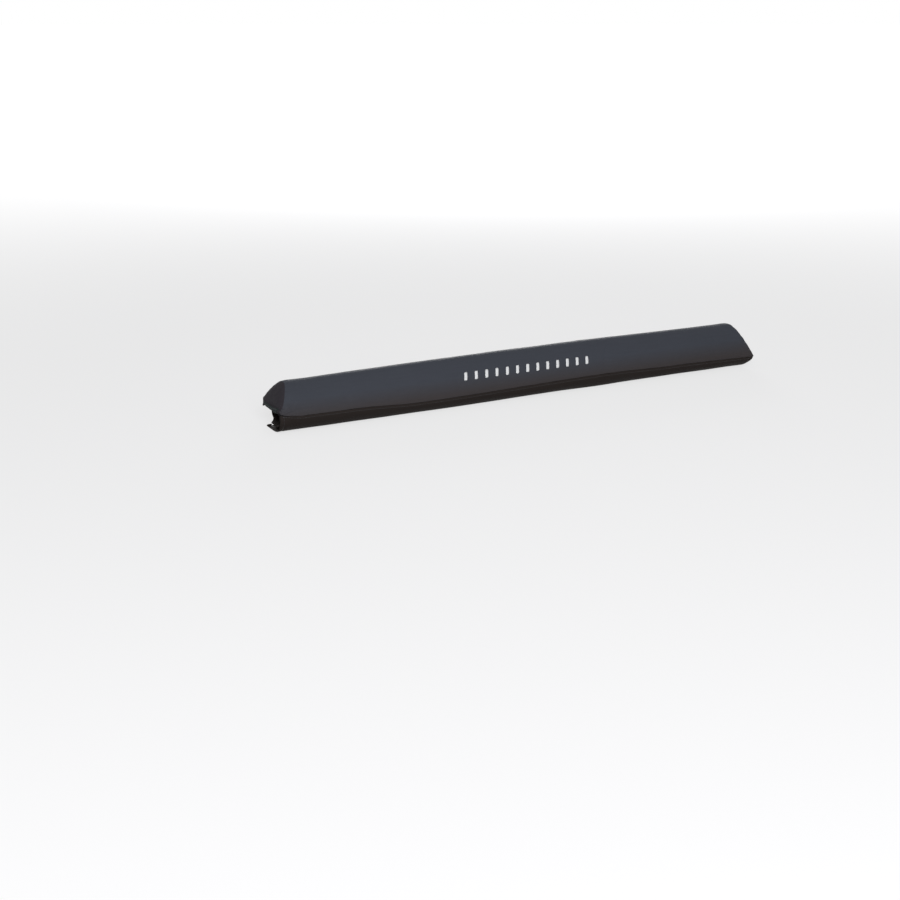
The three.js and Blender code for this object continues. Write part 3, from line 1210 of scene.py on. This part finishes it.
def seen_white(tree):
    """1 for the rays that see the white backdrop: the camera's, and those in gloss or through glass."""
    path = add(tree, "LightPath").outputs
    gloss = add(tree, "Math", {0: path["Is Camera Ray"], 1: path["Is Glossy Ray"]}, operation="MAXIMUM")
    return add(tree, "Math", {0: gloss.outputs["Value"], 1: path["Is Transmission Ray"]},
               operation="MAXIMUM").outputs["Value"]


def floor_paper():
    """Matte paper sweep: pale round the pad, where it takes the shadow, and rising to white farther off."""
    material, tree = start_material("Paper floor")
    base = tuple(bpy.context.scene.pad_colours.floor)
    spot = add(tree, "TexCoord").outputs["Object"]
    away = add(tree, "VectorMath", {0: spot}, operation="LENGTH").outputs["Value"]
    glow = add(tree, "MapRange", {"Value": away, "From Min": 0.5, "From Max": 3.5, "To Min": 0.68,
                                  "To Max": 1.0}, interpolation_type="SMOOTHSTEP").outputs["Result"]
    shown = add(tree, "Math", {0: glow, 1: seen_white(tree)}, operation="MULTIPLY").outputs["Value"]
    paper = add(tree, "BsdfDiffuse", {"Color": base})
    light = add(tree, "Emission", {"Color": (1, 1, 1, 1), "Strength": shown})
    both = add(tree, "AddShader", {0: paper.outputs["BSDF"], 1: light.outputs["Emission"]})
    add(tree, "OutputMaterial", {"Surface": both.outputs["Shader"]})
    return material


def area_light(name, power, size, place, aim):
    """A soft square light that points at a spot."""
    lamp = bpy.data.lights.new(name, "AREA")
    lamp.energy = power
    lamp.size = size
    light = bpy.data.objects.new(name, lamp)
    light.location = place
    light.rotation_euler = (Vector(aim) - Vector(place)).to_track_quat("-Z", "Y").to_euler()
    bpy.context.scene.collection.objects.link(light)


FLOOR_HALF = 40.0


class PAD_OT_stage(bpy.types.Operator):
    """Sets the floor, the lights and the camera"""
    bl_idname = "pad.set_stage"
    bl_label = "Set the stage"

    def execute(self, context):
        stage = context.scene.pad_stage
        bm = bmesh.new()
        bmesh.ops.create_grid(bm, x_segments=1, y_segments=1, size=FLOOR_HALF)
        mesh = bpy.data.meshes.new("floor")
        bm.to_mesh(mesh)
        bm.free()
        floor = bpy.data.objects.new("floor", mesh)
        mesh.materials.append(floor_paper())
        context.scene.collection.objects.link(floor)

        world = bpy.data.worlds.new("studio")
        world.use_nodes = True
        context.scene.world = world
        tree = world.node_tree
        tree.nodes.clear()
        around = add(tree, "Background", {"Color": (1, 1, 1, 1), "Strength": stage.ambient})
        behind = add(tree, "Background", {"Color": (1, 1, 1, 1), "Strength": 1.0})
        both = add(tree, "MixShader", {0: seen_white(tree), 1: around.outputs["Background"],
                                       2: behind.outputs["Background"]})
        add(tree, "OutputWorld", {"Surface": both.outputs["Shader"]})

        aim = (0, 0, 0.03)
        area_light("key", stage.key, 1.2, (-0.9, -2.0, 1.1), aim)
        area_light("fill", stage.fill, 1.5, (1.4, -1.9, 1.2), aim)
        area_light("back", stage.back, 1.2, (1.3, 2.3, 0.4), aim)

        camera = bpy.data.cameras.new("camera")
        camera.lens = stage.lens
        camera.sensor_width = 36
        camera.clip_start = 0.05
        view = bpy.data.objects.new("camera", camera)
        forward = Vector((
            math.sin(stage.yaw) * math.cos(stage.pitch),
            math.cos(stage.yaw) * math.cos(stage.pitch),
            -math.sin(stage.pitch),
        ))
        turn = forward.to_track_quat("-Z", "Y") @ Matrix.Rotation(stage.roll, 3, "Z").to_quaternion()
        view.matrix_world = Matrix.Translation(Vector(stage.place)) @ turn.to_matrix().to_4x4()
        context.scene.collection.objects.link(view)
        context.scene.camera = view
        context.scene.view_settings.view_transform = "Standard"
        return {"FINISHED"}


class PAD_PT_panel(bpy.types.Panel):
    """Lists the steps, sizes and colours"""
    bl_idname = "PAD_PT_panel"
    bl_label = "Rack pad"
    bl_space_type = "VIEW_3D"
    bl_region_type = "UI"
    bl_category = "Rack pad"

    def draw(self, context):
        for step in STEPS:
            self.layout.operator(step.bl_idname)
        for group in (context.scene.pad_sizes, context.scene.pad_colours, context.scene.pad_stage):
            column = self.layout.column()
            for name in group.__annotations__:
                column.prop(group, name)


STEPS = (PAD_OT_stage, PAD_OT_foam, PAD_OT_cover, PAD_OT_flaps, PAD_OT_closure, PAD_OT_bindings,
         PAD_OT_stitching, PAD_OT_print)
GROUPS = {"pad_sizes": PadSizes, "pad_colours": PadColours, "pad_stage": StageSettings}


def register():
    for group in GROUPS.values():
        bpy.utils.register_class(group)
    for step in STEPS:
        bpy.utils.register_class(step)
    bpy.utils.register_class(PAD_PT_panel)
    for name, group in GROUPS.items():
        setattr(bpy.types.Scene, name, PointerProperty(type=group))


def unregister():
    for name in GROUPS:
        delattr(bpy.types.Scene, name)
    bpy.utils.unregister_class(PAD_PT_panel)
    for kind in (*STEPS, *GROUPS.values()):
        bpy.utils.unregister_class(kind)


def main():
    """Makes every piece in order."""
    register()
    bpy.ops.pad.set_stage()
    bpy.ops.pad.shape_foam()
    bpy.ops.pad.sew_cover()
    bpy.ops.pad.hang_flaps()
    bpy.ops.pad.close_flaps()
    bpy.ops.pad.bind_ends()
    bpy.ops.pad.stitch_seams()
    bpy.ops.pad.print_bars()
    bpy.context.view_layer.update()


if __name__ == "__main__":
    main()
